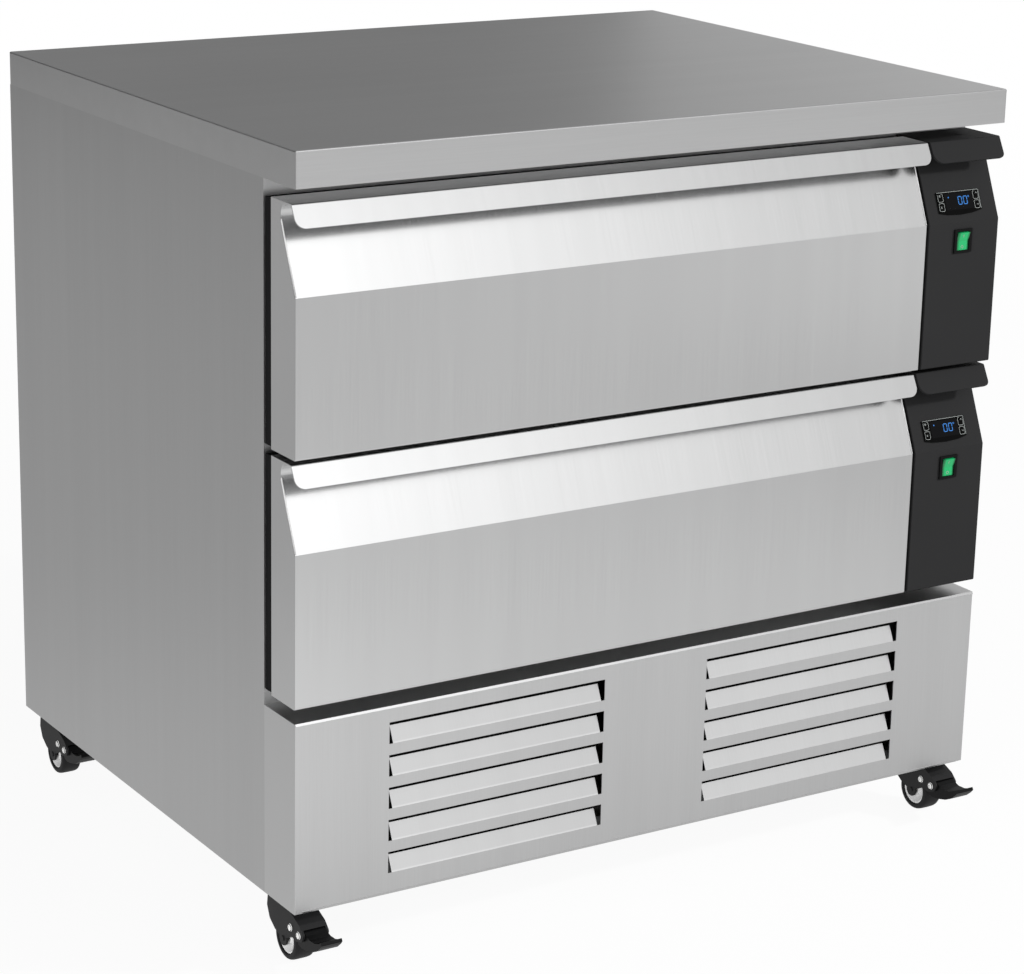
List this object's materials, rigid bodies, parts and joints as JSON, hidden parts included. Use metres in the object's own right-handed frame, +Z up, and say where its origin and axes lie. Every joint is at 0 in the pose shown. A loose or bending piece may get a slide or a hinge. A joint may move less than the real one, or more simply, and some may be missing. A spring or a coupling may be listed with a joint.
{
  "type": "refrigerated drawer unit",
  "caption": "Steel refrigerated counter on casters with stacked insulated drawers, handle lips, louvred kick panel and a black control panel beside each drawer.",
  "frame": {"origin": "on the floor under the middle of the unit's outer box, brake pedals included", "axes": "+Z up, +Y from the drawer fronts to the back, +X from the left side to the right side as seen by a person who faces the drawers"},
  "size_m": [0.9, 0.7376, 0.875],
  "materials": {
    "worktop_steel": "fine brushed stainless steel, grain along the width",
    "panel_steel": "satin stainless steel sheet",
    "kick_steel": "satin stainless steel sheet, punched",
    "drawer_steel": "fine brushed stainless steel",
    "liner_steel": "plain stainless steel",
    "rail_steel": "plain stainless steel",
    "galvanised": "galvanised sheet",
    "zinc": "zinc plated",
    "foam": "rigid foam",
    "inner_panel": "moulded panel with foam core",
    "gasket_rubber": "soft black seal",
    "black_plastic": "glossy black moulding",
    "controller_black": "black bezel with dark window",
    "switch_black": "black bezel",
    "rocker_green": "lit green rocker",
    "key_black": "small black key",
    "compressor_black": "black enamel",
    "coil_aluminium": "aluminium fins",
    "motor_grey": "grey enamel",
    "copper": "copper tube",
    "tray_plastic": "dark tray",
    "caster_grey": "dark grey moulded fork with bright rivets",
    "caster_tyre": "black tyre on a pale rim",
    "pedal_black": "black moulded pedal",
    "fan_black": "black moulded fan"
  },
  "bodies": {
    "cabinet": {"worktop": "worktop_steel", "side_panel_left": "panel_steel", "side_panel_right": "panel_steel", "back_panel": "galvanised", "front_frame": "panel_steel", "insulation_foam": "foam", "liners": "liner_steel", "base_tray": "galvanised", "kick_panel": "kick_steel", "control_housings": "black_plastic", "controllers": "controller_black", "switch_frames": "switch_black", "compressors": "compressor_black", "condensers": "coil_aluminium", "condenser_shrouds": "galvanised", "fan_motors": "motor_grey", "evaporators": "coil_aluminium", "evaporator_covers": "liner_steel", "refrigerant_lines": "copper", "condensate_tray": "tray_plastic", "cabinet_rails": "rail_steel", "caster_plates": "zinc"},
    "drawer_upper": {"drawer_front_upper": "drawer_steel", "drawer_inner_panel_upper": "inner_panel", "drawer_gasket_upper": "gasket_rubber", "drawer_box_upper": "liner_steel", "drawer_rails_upper": "rail_steel"},
    "middle_rails_upper": {"middle_rails_upper": "rail_steel"},
    "rocker_upper": {"rocker_upper": "rocker_green"},
    "key_upper_high_left": {"key_upper_high_left": "key_black"},
    "key_upper_high_right": {"key_upper_high_right": "key_black"},
    "key_upper_low_left": {"key_upper_low_left": "key_black"},
    "key_upper_low_right": {"key_upper_low_right": "key_black"},
    "drawer_lower": {"drawer_front_lower": "drawer_steel", "drawer_inner_panel_lower": "inner_panel", "drawer_gasket_lower": "gasket_rubber", "drawer_box_lower": "liner_steel", "drawer_rails_lower": "rail_steel"},
    "middle_rails_lower": {"middle_rails_lower": "rail_steel"},
    "rocker_lower": {"rocker_lower": "rocker_green"},
    "key_lower_high_left": {"key_lower_high_left": "key_black"},
    "key_lower_high_right": {"key_lower_high_right": "key_black"},
    "key_lower_low_left": {"key_lower_low_left": "key_black"},
    "key_lower_low_right": {"key_lower_low_right": "key_black"},
    "caster_fork_front_left": {"caster_fork_front_left": "caster_grey"},
    "caster_wheel_front_left": {"caster_wheel_front_left": "caster_tyre"},
    "brake_pedal_front_left": {"brake_pedal_front_left": "pedal_black"},
    "caster_fork_front_right": {"caster_fork_front_right": "caster_grey"},
    "caster_wheel_front_right": {"caster_wheel_front_right": "caster_tyre"},
    "brake_pedal_front_right": {"brake_pedal_front_right": "pedal_black"},
    "caster_fork_rear_left": {"caster_fork_rear_left": "caster_grey"},
    "caster_wheel_rear_left": {"caster_wheel_rear_left": "caster_tyre"},
    "brake_pedal_rear_left": {"brake_pedal_rear_left": "pedal_black"},
    "caster_fork_rear_right": {"caster_fork_rear_right": "caster_grey"},
    "caster_wheel_rear_right": {"caster_wheel_rear_right": "caster_tyre"},
    "brake_pedal_rear_right": {"brake_pedal_rear_right": "pedal_black"},
    "condenser_fan_left": {"condenser_fan_left": "fan_black"},
    "condenser_fan_right": {"condenser_fan_right": "fan_black"},
    "cooler_fan_upper": {"cooler_fan_upper": "fan_black"},
    "cooler_fan_lower": {"cooler_fan_lower": "fan_black"}
  },
  "joints": [
    {"name": "drawer_upper_slide", "type": "slide", "parent": "cabinet", "child": "drawer_upper", "axis": [0, -1, 0], "range_m": [0, 0.5]},
    {"name": "middle_rails_upper_slide", "type": "slide", "parent": "cabinet", "child": "middle_rails_upper", "axis": [0, -1, 0], "range_m": [0, 0.25]},
    {"name": "rocker_upper_tilt", "type": "hinge", "parent": "cabinet", "child": "rocker_upper", "pos_m": [0.3985, -0.329, 0.707], "axis": [-1, 0, 0], "range_deg": [0, 16]},
    {"name": "key_upper_high_left_press", "type": "slide", "parent": "cabinet", "child": "key_upper_high_left", "axis": [0, 0.9205, -0.3908], "range_m": [0, 0.0005], "stiffness_N_per_m": 400},
    {"name": "key_upper_high_right_press", "type": "slide", "parent": "cabinet", "child": "key_upper_high_right", "axis": [0, 0.9205, -0.3908], "range_m": [0, 0.0005], "stiffness_N_per_m": 400},
    {"name": "key_upper_low_left_press", "type": "slide", "parent": "cabinet", "child": "key_upper_low_left", "axis": [0, 0.9205, -0.3908], "range_m": [0, 0.0005], "stiffness_N_per_m": 400},
    {"name": "key_upper_low_right_press", "type": "slide", "parent": "cabinet", "child": "key_upper_low_right", "axis": [0, 0.9205, -0.3908], "range_m": [0, 0.0005], "stiffness_N_per_m": 400},
    {"name": "drawer_lower_slide", "type": "slide", "parent": "cabinet", "child": "drawer_lower", "axis": [0, -1, 0], "range_m": [0, 0.5]},
    {"name": "middle_rails_lower_slide", "type": "slide", "parent": "cabinet", "child": "middle_rails_lower", "axis": [0, -1, 0], "range_m": [0, 0.25]},
    {"name": "rocker_lower_tilt", "type": "hinge", "parent": "cabinet", "child": "rocker_lower", "pos_m": [0.3985, -0.329, 0.442], "axis": [-1, 0, 0], "range_deg": [0, 16]},
    {"name": "key_lower_high_left_press", "type": "slide", "parent": "cabinet", "child": "key_lower_high_left", "axis": [0, 0.9205, -0.3908], "range_m": [0, 0.0005], "stiffness_N_per_m": 400},
    {"name": "key_lower_high_right_press", "type": "slide", "parent": "cabinet", "child": "key_lower_high_right", "axis": [0, 0.9205, -0.3908], "range_m": [0, 0.0005], "stiffness_N_per_m": 400},
    {"name": "key_lower_low_left_press", "type": "slide", "parent": "cabinet", "child": "key_lower_low_left", "axis": [0, 0.9205, -0.3908], "range_m": [0, 0.0005], "stiffness_N_per_m": 400},
    {"name": "key_lower_low_right_press", "type": "slide", "parent": "cabinet", "child": "key_lower_low_right", "axis": [0, 0.9205, -0.3908], "range_m": [0, 0.0005], "stiffness_N_per_m": 400},
    {"name": "caster_front_left_swivel", "type": "hinge", "parent": "cabinet", "child": "caster_fork_front_left", "pos_m": [-0.426, -0.269, 0.065], "axis": [0, 0, 1], "continuous": true},
    {"name": "caster_front_left_roll", "type": "hinge", "parent": "caster_fork_front_left", "child": "caster_wheel_front_left", "pos_m": [-0.426, -0.289, 0.025], "axis": [1, 0, 0], "continuous": true},
    {"name": "brake_pedal_front_left_press", "type": "hinge", "parent": "caster_fork_front_left", "child": "brake_pedal_front_left", "pos_m": [-0.426, -0.324, 0.042], "axis": [1, 0, 0], "range_deg": [0, 20]},
    {"name": "caster_front_right_swivel", "type": "hinge", "parent": "cabinet", "child": "caster_fork_front_right", "pos_m": [0.426, -0.269, 0.065], "axis": [0, 0, 1], "continuous": true},
    {"name": "caster_front_right_roll", "type": "hinge", "parent": "caster_fork_front_right", "child": "caster_wheel_front_right", "pos_m": [0.426, -0.289, 0.025], "axis": [1, 0, 0], "continuous": true},
    {"name": "brake_pedal_front_right_press", "type": "hinge", "parent": "caster_fork_front_right", "child": "brake_pedal_front_right", "pos_m": [0.426, -0.324, 0.042], "axis": [1, 0, 0], "range_deg": [0, 20]},
    {"name": "caster_rear_left_swivel", "type": "hinge", "parent": "cabinet", "child": "caster_fork_rear_left", "pos_m": [-0.426, 0.331, 0.065], "axis": [0, 0, 1], "continuous": true},
    {"name": "caster_rear_left_roll", "type": "hinge", "parent": "caster_fork_rear_left", "child": "caster_wheel_rear_left", "pos_m": [-0.426, 0.311, 0.025], "axis": [1, 0, 0], "continuous": true},
    {"name": "brake_pedal_rear_left_press", "type": "hinge", "parent": "caster_fork_rear_left", "child": "brake_pedal_rear_left", "pos_m": [-0.426, 0.276, 0.042], "axis": [1, 0, 0], "range_deg": [0, 20]},
    {"name": "caster_rear_right_swivel", "type": "hinge", "parent": "cabinet", "child": "caster_fork_rear_right", "pos_m": [0.426, 0.331, 0.065], "axis": [0, 0, 1], "continuous": true},
    {"name": "caster_rear_right_roll", "type": "hinge", "parent": "caster_fork_rear_right", "child": "caster_wheel_rear_right", "pos_m": [0.426, 0.311, 0.025], "axis": [1, 0, 0], "continuous": true},
    {"name": "brake_pedal_rear_right_press", "type": "hinge", "parent": "caster_fork_rear_right", "child": "brake_pedal_rear_right", "pos_m": [0.426, 0.276, 0.042], "axis": [1, 0, 0], "range_deg": [0, 20]},
    {"name": "condenser_fan_left_spin", "type": "hinge", "parent": "cabinet", "child": "condenser_fan_left", "pos_m": [-0.203, -0.251, 0.1682], "axis": [0, 1, 0], "continuous": true},
    {"name": "condenser_fan_right_spin", "type": "hinge", "parent": "cabinet", "child": "condenser_fan_right", "pos_m": [0.203, -0.251, 0.1682], "axis": [0, 1, 0], "continuous": true},
    {"name": "cooler_fan_upper_spin", "type": "hinge", "parent": "cabinet", "child": "cooler_fan_upper", "pos_m": [0.1552, 0.289, 0.6875], "axis": [0, 1, 0], "continuous": true},
    {"name": "cooler_fan_lower_spin", "type": "hinge", "parent": "cabinet", "child": "cooler_fan_lower", "pos_m": [0.1552, 0.289, 0.4225], "axis": [0, 1, 0], "continuous": true}
  ],
  "couplings": [
    {"joint": "middle_rails_upper_slide", "follows": "drawer_upper_slide", "ratio": 0.5},
    {"joint": "middle_rails_lower_slide", "follows": "drawer_lower_slide", "ratio": 0.5}
  ]
}
